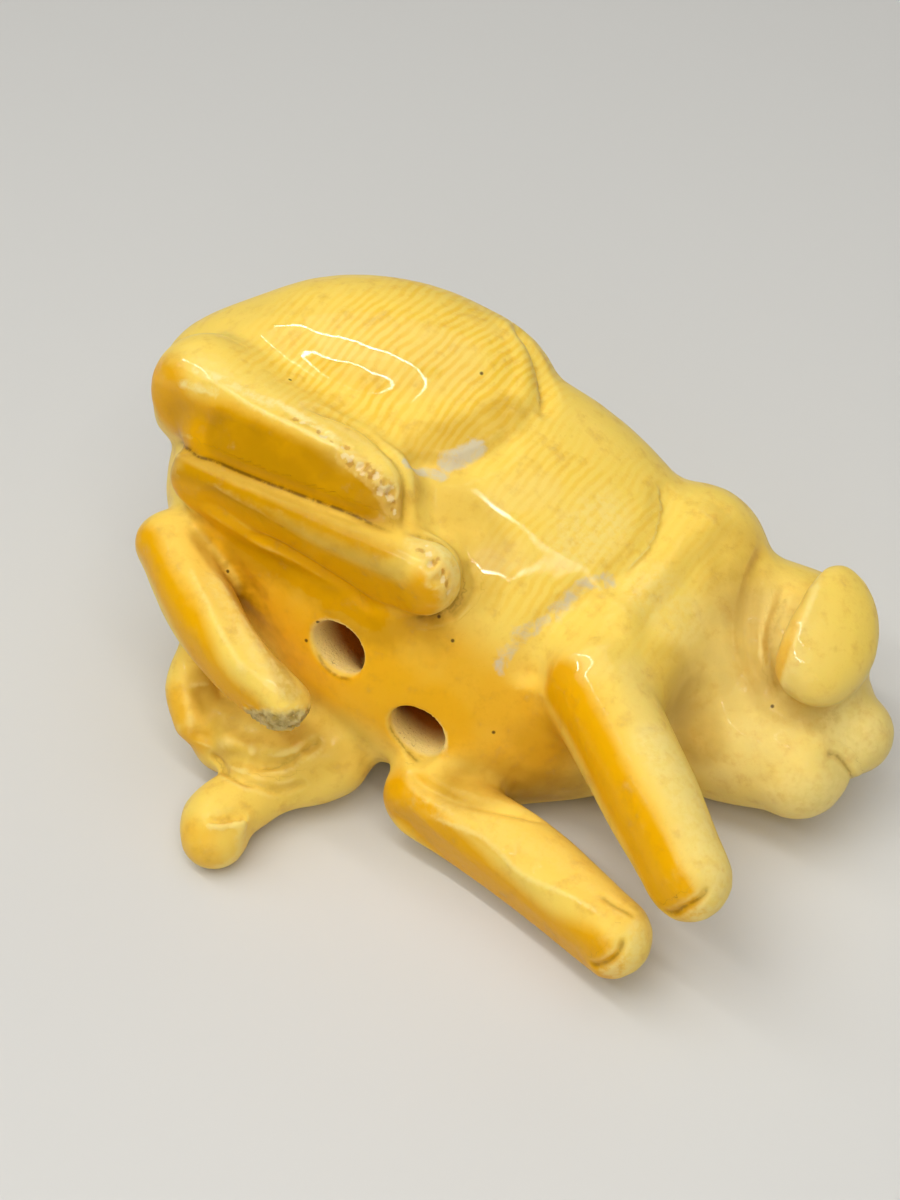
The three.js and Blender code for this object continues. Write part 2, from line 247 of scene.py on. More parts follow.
touch = {
    "step": 0.25,           # mm, along a line
    "dab": 0.05,            # mm, from the middle to the end of a stroke of one knot
    "layRounds": 5,         # that even out a line laid on the surface
    "lineEnds": 0.12,       # share of a line over which it starts and ends
    "pareEnds": 0.08,
    "pareEdge": 0.35,       # share of the reach over which a tool lets go
    "easeEdge": 0.4,
    "roughEdge": 0.5,
    "brushEdge": 0.6,
    "chipEdge": 0.9,
    "bridgeEdge": 1.5,      # mm, round the two lines that are bridged
    "bridgeReach": 1.4,     # in widths of the gap
    "bridgeFade": 0.35,
    "bridgeEnds": 8,        # steps
    "chipRoughness": 0.04,  # mm
    "breakRoughness": 0.11,
    "breakSeed": 5,
    "chipWidths": (0.18, 0.42),
    "chipDepth": 0.45,      # in widths
}


def curveThrough(knots):
    # an even, smooth line through the knots
    knots = np.array(knots, float)
    step = touch["step"]
    if len(knots) == 1:
        return np.vstack([knots - touch["dab"], knots + touch["dab"]])
    if len(knots) < 3:
        count = max(2, int(np.linalg.norm(knots[-1] - knots[0]) / step))
        return np.linspace(knots[0], knots[-1], count)
    padded = np.vstack([2 * knots[0] - knots[1], knots, 2 * knots[-1] - knots[-2]])
    line = []
    for a, b, c, d in zip(padded[:-3], padded[1:-2], padded[2:-1], padded[3:]):
        count = max(2, int(np.linalg.norm(c - b) / step))
        for t in np.arange(count) / count:
            line.append(0.5 * (2 * b + (c - a) * t + (2 * a - 5 * b + 4 * c - d) * t ** 2
                               + (3 * b - a - 3 * c + d) * t ** 3))
    line.append(knots[-1])
    return np.array(line)


class Skin:
    # the surface as it stands: points, facings and a tree for laying strokes on it
    def __init__(self):
        self.refresh()

    def refresh(self):
        self.points = readPoints()
        self.facings = readFacings()
        polygons = [tuple(face.vertices) for face in carving.data.polygons]
        self.tree = BVHTree.FromPolygons([Vector(p) for p in self.points], polygons)

    def laid(self, knots):
        # the line through the knots, laid on the surface and evened out
        line = np.array([self.tree.find_nearest(Vector(p))[0] for p in curveThrough(knots)])
        for _ in range(touch["layRounds"]):
            line[1:-1] = 0.25 * line[:-2] + 0.5 * line[1:-1] + 0.25 * line[2:]
        return line

    def near(self, knots, reach):
        # the points within reach of a stroke: which, how far off, how far along, on which side, and the gap
        line = self.laid(knots)
        low, high = line.min(0) - reach, line.max(0) + reach
        which = np.where(((self.points > low) & (self.points < high)).all(1))[0]
        spots, facings = self.points[which], self.facings[which]
        best = np.full(len(which), 1e9)
        along = np.zeros(len(which))
        side = np.ones(len(which))
        gaps = np.zeros((len(which), 3))
        walked = 0
        for a, b in zip(line[:-1], line[1:]):
            run = b - a
            length = np.linalg.norm(run)
            if length < 1e-6:
                continue
            t = np.clip((spots - a) @ run / length ** 2, 0, 1)
            gap = spots - a - t[:, None] * run
            off = np.linalg.norm(gap, axis=1)
            closer = off < best
            best[closer] = off[closer]
            along[closer] = (walked + t * length)[closer]
            gaps[closer] = gap[closer]
            across = np.einsum("ij,ij->i", np.cross(run, facings), gap)
            side[closer] = np.sign(across)[closer]
            walked += length
        keep = best < reach
        return which[keep], best[keep], along[keep] / max(walked, 1e-6), side[keep], gaps[keep]


skin = Skin()


def fade(along, ends):
    # a stroke thins out over its first and last share
    return np.clip(np.minimum(along, 1 - along) / max(ends, 1e-3), 0, 1)


def press(knots, width, height, ends, profile):
    # raises (or, below zero, sinks) the surface along a stroke
    which, off, along, side, _ = skin.near(knots, width)
    share = off / width
    if profile == "soft":
        shape = (1 - share ** 2) ** 2
    elif profile == "sharp":
        shape = (1 - share) ** 1.5
    elif profile == "step":
        shape = side * (1 - share) ** 2 * np.minimum(1, share * 6)
    if ends:
        shape = shape * fade(along, ends)
    skin.points[which] += skin.facings[which] * (shape * height)[:, None]


def spread(values, rounds):
    # evens a value out over neighbouring points
    pairs = np.zeros(len(carving.data.edges) * 2, int)
    carving.data.edges.foreach_get("vertices", pairs)
    first, second = pairs.reshape(-1, 2).T
    count = np.bincount(np.r_[first, second], minlength=len(values))
    for _ in range(rounds):
        total = np.bincount(first, values[second], len(values))
        total += np.bincount(second, values[first], len(values))
        values = 0.5 * values + 0.5 * total / count
    return values


def pare(knots, reach, facing, depth):
    # pares a flat facet along a stroke, square to facing and depth below the surface
    facing = np.array(facing) / np.linalg.norm(facing)
    which, off, along, _, gaps = skin.near(knots, reach)
    above = np.maximum(gaps @ facing + depth, 0)
    hold = np.clip((1 - off / reach) / touch["pareEdge"], 0, 1) * fade(along, touch["pareEnds"])
    skin.points[which] -= facing * (above * hold)[:, None]


def build(knots, width, height, way=(0, 0, 1)):
    # builds the surface up one way along a stroke
    which, off, _, _, _ = skin.near(knots, width)
    skin.points[which] += height * np.array(way) * ((1 - (off / width) ** 2) ** 2)[:, None]


def ease(knots, reach, rounds):
    # smooths the surface round a stroke
    which, off, _, _, _ = skin.near(knots, reach)
    hold = np.clip((1 - off / reach) / touch["easeEdge"], 0, 1)
    for axis in range(3):
        eased = spread(skin.points[:, axis], rounds)
        skin.points[which, axis] += (eased[which] - skin.points[which, axis]) * hold


def bridge(lower, upper):
    # fills the hollow between two lines to an even slope
    lower, upper = curveThrough(lower), skin.laid(upper)
    edge = touch["bridgeEdge"]
    low = np.minimum(lower.min(0), upper.min(0)) - edge
    high = np.maximum(lower.max(0), upper.max(0)) + edge
    which = np.where(((skin.points > low) & (skin.points < high)).all(1))[0]
    spots = skin.points[which]
    toLower = np.linalg.norm(spots[:, None, :2] - lower[None, :, :2], axis=2)
    toUpper = np.linalg.norm(spots[:, None, :2] - upper[None, :, :2], axis=2)
    nearLower, nearUpper = toLower.argmin(1), toUpper.argmin(1)
    below, above = toLower.min(1), toUpper.min(1)
    gap = np.linalg.norm(lower[nearLower, :2] - upper[nearUpper, :2], axis=1)
    share = below / np.maximum(below + above, 1e-6)
    wanted = lower[nearLower, 2] * (1 - share) + upper[nearUpper, 2] * share
    hold = np.clip((touch["bridgeReach"] * gap - below - above) / (touch["bridgeFade"] * gap), 0, 1)
    hold *= np.clip(np.minimum(nearUpper, len(upper) - 1 - nearUpper) / touch["bridgeEnds"], 0, 1)
    skin.points[which, 2] += np.maximum(wanted - spots[:, 2], 0) * hold


def roughen(knots, reach, amount, seed):
    # breaks the surface up into small lumps and pits
    which, off, _, _, _ = skin.near(knots, reach)
    lumps = spread(np.random.default_rng(seed).normal(size=len(skin.points)), 1)
    hold = np.clip((1 - off / reach) / touch["roughEdge"], 0, 1)
    skin.points[which] += skin.facings[which] * (lumps[which] * hold * amount)[:, None]


paints = {}


def channel(name, fill=0.0):
    paints[name] = np.full(len(skin.points), float(fill))
    return paints[name]


def brush(name, knots, width, amount, edge):
    # paints a stroke: full in its middle, and fading out over the outer share that edge gives
    which, off, _, _, _ = skin.near(knots, width)
    share = np.clip((1 - off / width) / edge, 0, 1)
    share = share * share * (3 - 2 * share)
    paint = paints[name]
    paint[which] = np.maximum(paint[which], share * amount)


# Lines that more than one list follows: knots in mm in the carver's frame
leftForeSole = [(-2.9, -11.7, 0.8), (0.6, -15.1, 1.7), (5.1, -18.8, 3.9), (7.8, -20.0, 6.6)]
upperTipRidge = [(-5.9, 8.2, 4.7), (-4.8, 7.3, 5.1), (-3.7, 6.2, 5.2), (-3.1, 5.2, 4.9)]
lowerTipRidge = [(-1.6, 3.0, 5.9), (-1.0, 2.2, 6.2), (-0.5, 1.3, 6.0), (-0.2, 0.5, 5.6)]

# Facets pared flat: knots, reach, facing and depth
soleFacets = [
    ([(-14.5, 6.7, 2.0), (-11.5, 4.6, 2.7), (-8.6, 2.6, 3.0), (-5.1, 0.9, 3.8), (-2.3, 0.2, 5.0)],
     2.0, (-0.45, -0.75, 0.5), 0.2),
    (leftForeSole, 2.6, (-0.62, -0.65, 0.42), 0.12),
]

# Hollows built up: knots, width, height and, where it isn't towards the eye, the way
fillings = [
    ([(6.8, -2.6, 3.3), (8.2, -2.2, 3.6), (9.6, -1.6, 3.2)], 2.4, 0.7),
    ([(5.8, -3.4, 2.9), (6.8, -2.0, 2.8), (8.4, -0.8, 2.7)], 1.8, 0.35),
    ([(12.8, -4.2, 1.6), (14.0, -4.8, 0.6)], 3.2, 0.6),
    ([(23.4, -10.1, -0.3)], 1.7, 0.5, (0.75, -0.6, 0.25)),
    ([(-12.4, -13.5, -0.9)], 1.1, 0.5),
    ([(-11.4, -8.9, -2.5), (-9.2, -9.0, -1.8)], 1.0, 0.4),
    ([(-13.4, -8.7, -2.9), (-12.2, -9.1, -2.5)], 1.1, 0.6),
    ([(-13.4, -9.8, -2.7), (-12.4, -10.2, -2.2)], 0.8, 0.4),
]

# Places smoothed: knots, reach and rounds
easings = [
    ([(-13.6, 9.0, 2.2), (-9.2, 7.1, 3.6), (-5.4, 5.7, 4.7), (-3.6, 5.0, 5.0)], 1.6, 10),
    ([(13.0, -3.4, 1.8), (14.0, -5.0, 0.6)], 3.0, 24),
    ([(22.6, -9.6, 0.5), (23.6, -10.4, -0.6)], 1.8, 10),
    ([(-15.2, -5.5, -3.4), (-15.0, -8.6, -3.6), (-14.4, -9.8, -3.6)], 1.4, 10),
]

# The hollow between the two folded feet, from its lower edge to its upper one
seamEdges = ([(-14.6, 8.5, 2.0), (-12.3, 7.7, 2.9), (-9.0, 6.4, 3.9), (-5.5, 5.1, 4.9), (-3.0, 4.0, 5.2)],
             [(-14.3, 10.6, 2.4), (-11.5, 9.8, 3.3), (-8.2, 8.6, 4.5), (-4.8, 7.0, 5.2), (-2.9, 5.2, 5.0)])

# Carved lines: knots, width, height (below zero sinks), profile and how much dirt it holds
carvedLines = {
    "seam between the hind feet": (
        [(-16.6, 9.5, -3.1), (-15.2, 8.8, 1.4), (-12.4, 7.5, 2.6), (-9.1, 6.2, 3.8), (-5.6, 4.9, 4.7),
         (-4.2, 4.3, 5.1), (-2.9, 3.7, 5.5)],
        0.7, -0.3, "soft", 0.75),
    "rim of the upper cord hole": (
        [(-7.8, -3.0, -0.2), (-7.6, -3.7, -0.2), (-7.1, -4.3, -0.1), (-6.4, -4.6, 0.1), (-5.7, -4.7, 0.4)],
        0.25, -0.05, "sharp", 0.5),
    "rim of the lower cord hole": (
        [(-3.2, -7.3, 0.1), (-3.0, -7.9, 0.0), (-2.5, -8.6, -0.1), (-1.8, -9.0, 0.6)],
        0.25, -0.05, "sharp", 0.5),
    "tip of the upper foot": (
        [(-8.6, 11.2, 3.4), (-6.1, 10.4, 2.8), (-4.7, 9.7, 2.9), (-3.5, 8.5, 4.1), (-2.7, 7.3, 4.4),
         (-2.4, 6.0, 4.4), (-2.5, 4.8, 4.2), (-2.8, 3.9, 5.2)],
        0.7, -0.35, "sharp", 0.25),
    "tip of the lower foot": (
        [(-2.7, 3.8, 5.3), (-0.8, 3.6, 4.9), (0.0, 2.8, 4.6), (0.6, 1.8, 4.4), (0.7, 0.9, 4.0),
         (0.5, 0.0, 2.9), (-0.3, -0.7, 2.8), (-1.4, -1.0, 2.6), (-2.8, -1.0, 2.4)],
        0.7, -0.4, "sharp", 0.45),
    "ring round the lower tip": (
        [(0.9, 2.3, 3.0), (1.3, 1.3, 3.0), (1.3, 0.5, 3.0), (0.7, -0.4, 2.9), (-0.1, -1.0, 2.7)],
        0.4, -0.12, "sharp", 0.2),
    "under the lower foot": (
        [(-12.1, 3.7, 1.5), (-10.0, 2.7, 2.3), (-8.0, 1.5, 2.6), (-5.9, 0.2, 2.6), (-4.0, -0.7, 2.2)],
        0.7, -0.35, "sharp", 0.2),
    "knee": (
        [(3.8, 16.7, -3.7), (4.5, 15.7, -2.8), (5.2, 14.3, -2.3), (5.6, 12.9, -1.5), (5.6, 11.5, -0.3),
         (5.4, 10.6, 0.4)],
        1.1, -0.45, "sharp", 0.12),
    "round of the knee": (
        [(3.0, 17.2, -3.7), (4.1, 15.3, -1.8), (4.5, 13.6, -1.1), (4.1, 11.8, 0.0), (3.2, 10.2, 1.1)],
        1.0, 0.2, "soft", 0.0),
    "foot of the haunch": (
        [(-2.6, 8.3, 3.4), (-1.2, 7.8, 2.3), (0.3, 7.5, 2.3), (1.7, 8.0, 2.1), (2.9, 8.7, 1.8),
         (4.1, 9.6, 1.2)],
        1.1, -0.4, "soft", 0.0),
    "mouth": (
        [(21.9, -9.0, 1.3), (22.5, -9.0, 1.1), (23.0, -9.4, 0.7), (23.5, -10.2, -0.4), (24.0, -10.8, -1.2)],
        0.45, -0.25, "sharp", 0.45),
    "front of the ear": (
        [(21.7, 1.5, 1.4), (20.4, -1.0, 3.1), (19.5, -3.2, 3.4), (19.3, -4.7, 2.9), (19.4, -5.6, 2.0)],
        0.7, 0.14, "sharp", 0.0),
    "behind the ear": (
        [(20.3, 1.9, -0.5), (18.9, -2.2, 0.1), (18.8, -4.1, 0.4), (18.9, -5.0, 0.5), (19.3, -5.9, 0.6)],
        0.6, -0.28, "sharp", 0.25),
    "belly crease": (
        [(-2.6, -9.6, 1.0), (-1.6, -10.6, 1.7), (0.6, -11.5, 2.6), (3.5, -12.1, 2.9), (6.2, -12.2, 2.6)],
        0.8, -0.35, "sharp", 0.1),
    "shoulder edge": (
        [(12.2, 7.1, -1.1), (12.7, 6.2, -0.8), (12.6, 5.0, 0.0), (12.0, 3.5, 0.9), (11.1, 2.3, 1.6),
         (10.0, 1.4, 2.1), (8.7, 0.6, 2.4)],
        1.5, -0.3, "soft", 0.0),
    "front of the flank": (
        [(8.7, 0.6, 2.4), (7.2, -0.9, 2.6), (5.8, -2.3, 2.6), (4.9, -3.8, 2.4), (4.6, -5.2, 2.0)],
        1.7, -0.45, "soft", 0.0),
    "ridge of the upper arm": (
        [(16.0, 5.6, -1.5), (14.4, 4.0, -0.2), (12.4, 1.9, 1.2), (10.5, -0.1, 2.2), (8.9, -1.7, 3.1)],
        1.7, 0.4, "soft", 0.0),
    "nape crease": (
        [(19.1, 3.2, -2.7), (18.3, 2.0, -1.4), (17.7, 0.2, -0.6), (17.4, -1.7, -0.1), (17.6, -3.2, 0.2),
         (18.2, -4.6, 0.3), (19.0, -6.1, 0.5)],
        0.8, -0.25, "soft", 0.08),
    "second nape wrinkle": (
        [(18.8, 0.9, -1.3), (18.1, -1.2, -0.2), (18.1, -3.2, 0.2)],
        0.45, -0.07, "sharp", 0.1),
    "third nape wrinkle": (
        [(20.0, 0.6, -1.3), (19.0, -1.2, -0.3), (18.6, -2.9, 0.2)],
        0.45, -0.07, "sharp", 0.1),
    "right paw crack": (
        [(11.6, -17.1, 8.6), (12.1, -17.1, 9.3), (12.6, -16.6, 10.5), (13.1, -16.3, 10.8),
         (13.7, -15.9, 10.9), (13.9, -15.3, 10.9)],
        0.45, -0.2, "sharp", 0.5),
    "left paw upper crack": (
        [(8.4, -16.4, 6.7), (8.9, -16.8, 7.0), (10.3, -17.6, 7.2)],
        0.4, -0.12, "sharp", 0.4),
    "left paw lower crack": (
        [(7.4, -20.6, 6.4), (8.3, -20.3, 7.0), (9.1, -19.7, 7.8), (9.6, -19.0, 7.9), (9.5, -18.5, 7.9)],
        0.45, -0.2, "sharp", 0.45),
    "edge of the upper sole": (
        [(-14.5, 12.9, 2.1), (-13.0, 12.2, 2.6), (-11.5, 11.2, 3.4), (-10.0, 10.4, 3.9), (-8.5, 9.7, 4.2),
         (-7.1, 9.0, 4.5), (-5.9, 8.4, 4.7), (-4.5, 7.2, 5.1), (-3.4, 5.8, 5.0)],
        0.8, 0.22, "sharp", 0.0),
    "edge of the left hind sole": (
        [(-15.5, 2.3, 0.6), (-14.5, 0.6, 1.7), (-12.9, -2.3, 3.0), (-11.4, -4.6, 3.7)],
        0.9, 0.15, "sharp", 0.0),
    "top of the left hind foot": (
        [(-14.1, 1.9, 0.3), (-12.6, -0.3, 1.4), (-11.2, -2.3, 2.4), (-9.8, -4.3, 3.1), (-8.6, -5.7, 3.1)],
        0.9, 0.15, "sharp", 0.0),
    "beside the left hind foot": (
        [(-13.6, 2.9, -1.0), (-11.9, 0.4, -0.6), (-10.3, -2.3, 1.0), (-9.0, -4.0, 1.6), (-7.9, -6.0, 0.6)],
        1.0, -0.15, "soft", 0.1),
    "edge of the left fore sole": (
        [(-1.6, -12.3, 1.8), (-0.3, -12.8, 2.6), (1.6, -13.4, 3.6), (2.8, -14.3, 4.3), (4.1, -15.5, 5.2),
         (5.9, -16.2, 6.2), (7.5, -16.9, 7.0), (8.9, -17.9, 7.6)],
        0.8, 0.2, "sharp", 0.0),
    "pup's mouth": (
        [(-14.6, -9.3, -3.4), (-13.9, -10.2, -3.2), (-12.7, -10.7, -1.5), (-11.5, -11.0, -1.4)],
        0.5, -0.35, "sharp", 0.3),
    "pup's lip": (
        [(-11.8, -10.0, -2.1), (-10.1, -9.8, -1.8), (-9.0, -9.2, -1.6), (-7.7, -8.3, -1.7)],
        0.55, -0.4, "sharp", 0.3),
    "pup's fold": (
        [(-12.7, -10.7, -1.5), (-11.2, -11.1, -1.5), (-10.1, -11.5, -1.7), (-8.6, -10.9, -1.6)],
        0.5, -0.25, "sharp", 0.2),
    "beside the pup's ear": (
        [(-14.9, -5.0, -3.4), (-14.7, -7.0, -3.0), (-15.0, -8.8, -3.4)],
        1.1, -0.35, "soft", 0.1),
    "top of the pup's paw": (
        [(-14.4, -13.1, 0.1), (-13.7, -13.3, 0.1), (-12.8, -13.1, -0.4), (-12.2, -13.2, -0.8)],
        0.9, 0.45, "step", 0.15),
    "step of the flank": (
        [(12.2, 7.1, -1.1), (12.7, 6.2, -0.8), (12.6, 5.0, 0.0), (12.0, 3.5, 0.9), (11.1, 2.3, 1.6),
         (10.0, 1.4, 2.1)],
        1.4, 0.14, "step", 0.0),
    "step of the knee": (
        [(4.3, 15.7, -2.8), (5.0, 14.3, -2.3), (5.4, 12.9, -1.5), (5.4, 11.5, -0.3)],
        1.3, 0.25, "step", 0.0),
}


cordHoles = {
    "middles": [(-6.7, -2.9, 0.7), (-2.0, -7.9, 0.4)],
    "way": (0.46, 0.46, -0.76),             # inwards
    "narrowWay": (0.546, 0.546, 0.636),     # across the belly
    "squeeze": (0.13, 0.14),                # how far the ring is drawn in one way and out the other
    "squeezeReach": (3.4, 5),               # mm, across and along the hole
    "squeezeFade": (1.7, 3),
    "unsqueeze": (0.15, 0.12),              # that makes the oval round again
    "wallRadius": 1.85,                     # mm; what lies within it is wall, not belly
    "wallFlare": (0.6, 0.5),                # from this depth, by this much for each mm
    "wallEdge": 0.15,
    "rim": (0.05, 0.3),                     # mm, the depth where the wall's tone starts, and over how much
    # depth where the painted shade in the holes starts, and over how much
    "dark": (0.8, 1.7),
    "deepest": 5,
    "edgeNotPaled": (3.2, 2.5),                   # mm, across and along, where no edge is painted pale as wear and highlight
}


def holeAxes():
    # the way in, and the narrow and the wide way across
    way = np.array(cordHoles["way"]) / np.linalg.norm(cordHoles["way"])
    narrow = np.array(cordHoles["narrowWay"])
    return way, narrow, np.cross(way, narrow)


def squeezeHoles():
    # the cord holes are oval, narrower across the belly
    way, narrow, wide = holeAxes()
    drawnIn, drawnOut = cordHoles["squeeze"]
    (acrossReach, alongReach), (acrossFade, alongFade) = cordHoles["squeezeReach"], cordHoles["squeezeFade"]
    for middle in cordHoles["middles"]:
        gap = skin.points - middle
        depth = gap @ way
        radius = np.linalg.norm(gap - depth[:, None] * way, axis=1)
        hold = np.clip((acrossReach - radius) / acrossFade, 0, 1)
        hold *= np.clip((alongReach - np.abs(depth)) / alongFade, 0, 1)
        hold = hold * hold * (3 - 2 * hold)
        skin.points -= narrow * (gap @ narrow * hold * drawnIn)[:, None]
        skin.points += wide * (gap @ wide * hold * drawnOut)[:, None]


def carveLines():
    squeezeHoles()
    for row in soleFacets:
        pare(*row)
    bridge(*seamEdges)
    for row in fillings:
        build(*row)
    writePoints(skin.points)
    remesh(block["secondEasing"])
    skin.refresh()
    for row in easings:
        ease(*row)
    writePoints(skin.points)
    skin.refresh()
    for knots, width, height, profile, _ in carvedLines.values():
        press(knots, width, height, touch["lineEnds"], profile)
    for seed, (knots, width, amount) in enumerate(chipStrokes):
        roughen(knots, width, touch["chipRoughness"] * amount, seed)
    for knots, width, _ in breakStrokes:
        roughen(knots, width, touch["breakRoughness"], touch["breakSeed"])
    for spot, width in chips:
        press([spot], width, -touch["chipDepth"] * width, 0, "soft")
    writePoints(skin.points)
    skin.refresh()
    print("facets pared:", len(soleFacets), "lines carved:", len(carvedLines))


# How the stain, dirt, wear, painted shade and painted highlights lie: knots, width and strength
stainStrokes = [
    ([(-17.0, 12.4, 0.2), (-15.6, 10.3, 0.2), (-12.8, 9.3, 1.9), (-9.2, 7.5, 3.1), (-6.3, 5.7, 4.0),
      (-3.4, 4.4, 4.8)], 3.0, 1.0),
    ([(-14.5, 6.7, 2.0), (-11.5, 4.6, 2.7), (-8.6, 2.6, 3.0), (-5.1, 0.9, 3.8), (-2.3, -0.3, 4.7),
      (-0.6, 0.6, 6.2)], 2.4, 0.9),
    ([(-18.1, 3.6, -0.9), (-16.0, 0.0, 1.5), (-13.7, -4.6, 1.8), (-11.9, -6.3, 2.1)], 2.2, 0.9),
    ([(6.2, -5.1, 4.5), (7.8, -7.8, 6.7), (10.3, -13.0, 9.3), (11.8, -15.9, 10.1)], 2.6, 1.0),
    (leftForeSole, 3.0, 1.05),
    ([(-15.6, 6.6, 1.0), (-13.8, 4.7, 0.5), (-11.1, 2.8, 0.9), (-7.6, 1.0, 1.6), (-4.6, -0.6, 2.2)],
     1.5, 1.4),
    ([(-14.8, 8.0, 1.8), (-10.8, 6.3, 3.6), (-7.4, 4.8, 4.8), (-5.5, 3.9, 5.3), (-3.6, 3.2, 5.8)], 1.3, 0.9),
    ([(-1.2, -11.4, 2.0), (2.4, -13.0, 3.6), (6.6, -15.0, 5.0), (8.9, -17.2, 6.8)], 1.8, 0.5),
    ([(-8.9, 10.6, 3.9), (-5.6, 9.2, 4.4)], 1.6, 0.35),
    ([(-15.4, -14.5, -0.2), (-13.9, -15.0, 0.1), (-12.7, -14.8, -0.4)], 2.2, 0.45),
    ([(-16.5, -6.6, -3.3), (-16.3, -8.4, -3.5)], 2.4, 0.6),
    ([(-13.1, 2.4, -0.9), (-8.8, -1.2, 0.3), (-4.1, -5.3, 1.0), (1.2, -9.4, 0.9)], 4.5, 0.75),
    ([(-7.0, 0.0, 1.4), (0.0, -5.2, 1.8), (4.1, -8.2, 0.8)], 5.0, 0.7),
    ([(22.0, 1.4, -0.5), (20.0, -0.9, 2.6), (19.0, -3.4, 3.1), (18.9, -5.0, 1.8)], 0.8, 0.6),
    ([(16.0, 5.6, -1.5), (14.4, 4.0, -0.2), (12.4, 1.9, 1.2), (10.5, -0.1, 2.2)], 0.9, 0.45),
]
boneStrokes = [
    ([(18.3, -2.9, 0.2), (16.5, -7.1, 0.4), (20.3, -9.9, 1.9), (24.7, -8.2, 0.4)], 6.0, 1.0),
    ([(14.8, -5.9, -0.2), (15.9, -8.8, 0.3)], 4.0, 1.0),
    ([(10.8, -4.5, 4.8), (11.6, -7.7, 7.5), (13.1, -10.9, 9.1), (13.7, -14.5, 10.9)], 2.2, 0.5),
]
chalkStrokes = [
    ([(-2.4, 7.9, 3.9), (-1.4, 7.7, 2.3), (-0.5, 7.3, 2.4)], 0.6, 0.7),
    ([(-0.1, 8.0, 2.2), (0.7, 8.3, 2.1), (1.5, 8.8, 1.9)], 1.0, 0.85),
    ([(2.9, -3.9, 2.3), (3.3, -2.9, 2.6), (4.2, -2.0, 2.7), (5.3, -1.4, 2.7), (6.2, -0.7, 2.7),
      (7.2, 0.5, 2.6), (8.1, 0.9, 2.5), (9.3, 1.2, 2.3)], 0.8, 0.55),
]
chipStrokes = [
    (upperTipRidge, 0.9, 1.0),
    (lowerTipRidge, 0.9, 0.8),
    ([(-11.6, -7.4, 2.0), (-10.2, -6.8, 3.2), (-9.0, -6.9, 3.2), (-8.2, -7.3, 2.0)], 1.1, 1.0),
]
breakStrokes = [
    ([(-11.6, -7.3, 2.0), (-10.0, -7.0, 2.8), (-8.8, -7.0, 2.8), (-7.9, -7.4, 1.6)], 1.3, 1.0),
]


def scatter(knots, count, aside, seed):
    # small chips strewn along a ridge: places and widths
    chance = np.random.default_rng(seed)
    line = curveThrough(knots)
    found = []
    for index in np.linspace(0, len(line) - 1, count).astype(int):
        spot = tuple(line[index] + chance.uniform(-aside, aside, 3))
        found.append((spot, chance.uniform(*touch["chipWidths"])))
    return found


chips = (scatter(upperTipRidge, 22, 0.35, 1)
         + scatter(lowerTipRidge, 12, 0.4, 2)
         + scatter([(-8.7, 10.4, 3.9), (-6.6, 9.1, 4.6), (-5.9, 8.4, 4.7)], 6, 0.2, 3))
# pale streaks on ridges, tips and the head: rubbed wear and painted highlights
wearAndHighlightStrokes = [
    ([(-15.2, 14.6, 1.0), (-12.1, 12.7, 2.5), (-8.6, 10.9, 3.6), (-5.7, 9.1, 4.3), (-3.2, 7.3, 4.7)],
     0.9, 0.15),
    ([(-14.7, 13.4, 1.8), (-12.2, 12.2, 2.8), (-10.4, 11.2, 3.5)], 0.35, 1.0),
    ([(-10.6, 11.6, 3.3), (-8.4, 10.5, 3.9), (-6.4, 9.2, 4.5)], 0.35, 1.0),
    ([(-15.6, 12.6, 1.4), (-13.5, 12.0, 2.5)], 0.3, 0.9),
    ([(-1.8, 3.2, 5.6), (-0.4, 2.4, 5.4), (0.2, 1.2, 5.0), (-0.2, 0.0, 4.6)], 1.0, 0.7),
    ([(-13.6, 1.3, 1.0), (-12.0, -1.3, 2.2), (-10.6, -3.6, 3.0), (-9.3, -5.2, 3.3)], 1.1, 0.35),
    ([(-2.0, -11.2, 1.7), (1.7, -12.9, 3.4), (6.2, -14.6, 4.9), (8.9, -16.9, 6.8)], 1.2, 0.15),
    ([(13.6, -17.0, 10.2), (14.6, -15.9, 10.6), (14.9, -14.6, 10.9)], 1.0, 0.6),
    ([(8.8, 4.7, 1.5), (7.4, 3.4, 2.2)], 2.6, 0.45),
    ([(13.5, -1.2, 1.2), (11.5, 0.6, 1.9)], 2.4, 0.4),
    ([(11.5, -7.5, 8.0), (13.3, -10.8, 9.4), (14.6, -14.0, 10.6)], 1.8, 0.5),
    ([(24.4, -7.7, 0.8), (23.5, -7.0, 1.0)], 2.4, 0.5),
    ([(21.8, -11.4, 0.6), (19.8, -11.6, 1.2)], 2.4, 0.5),
    ([(10.5, -18.4, 7.6), (10.3, -19.6, 7.6), (9.0, -20.8, 7.0)], 1.0, 0.6),
    ([(-12.3, -14.0, -0.6), (-12.1, -15.2, -1.0), (-13.2, -16.6, -0.8)], 0.8, 0.5),
]
glossStrokes = [
    ([(-11.9, 16.2, -1.6), (-7.1, 15.4, 0.2), (-2.9, 14.6, 0.7), (-0.2, 14.0, 0.4)], 3.0, 1.0),
    ([(-16.4, 13.7, 1.0), (-12.1, 12.7, 2.5), (-8.6, 10.9, 3.6), (-5.7, 9.1, 4.3)], 1.8, 1.0),
    ([(3.2, 5.9, 2.5), (5.4, 6.4, 2.1)], 1.6, 1.0),
    ([(2.1, 2.3, 3.0), (3.6, 2.7, 2.9)], 1.5, 1.0),
    ([(7.1, -3.5, 4.6), (8.3, -3.3, 4.8)], 2.0, 1.0),
    ([(-1.6, 2.6, 5.6), (0.1, 1.0, 5.0)], 1.6, 0.6),
    ([(21.0, 0.2, 2.4), (19.2, -3.0, 3.4), (19.1, -4.6, 3.0)], 1.2, 0.6),
    ([(-13.6, 0.3, 1.0), (-10.0, -4.3, 3.0)], 1.6, 0.6),
]
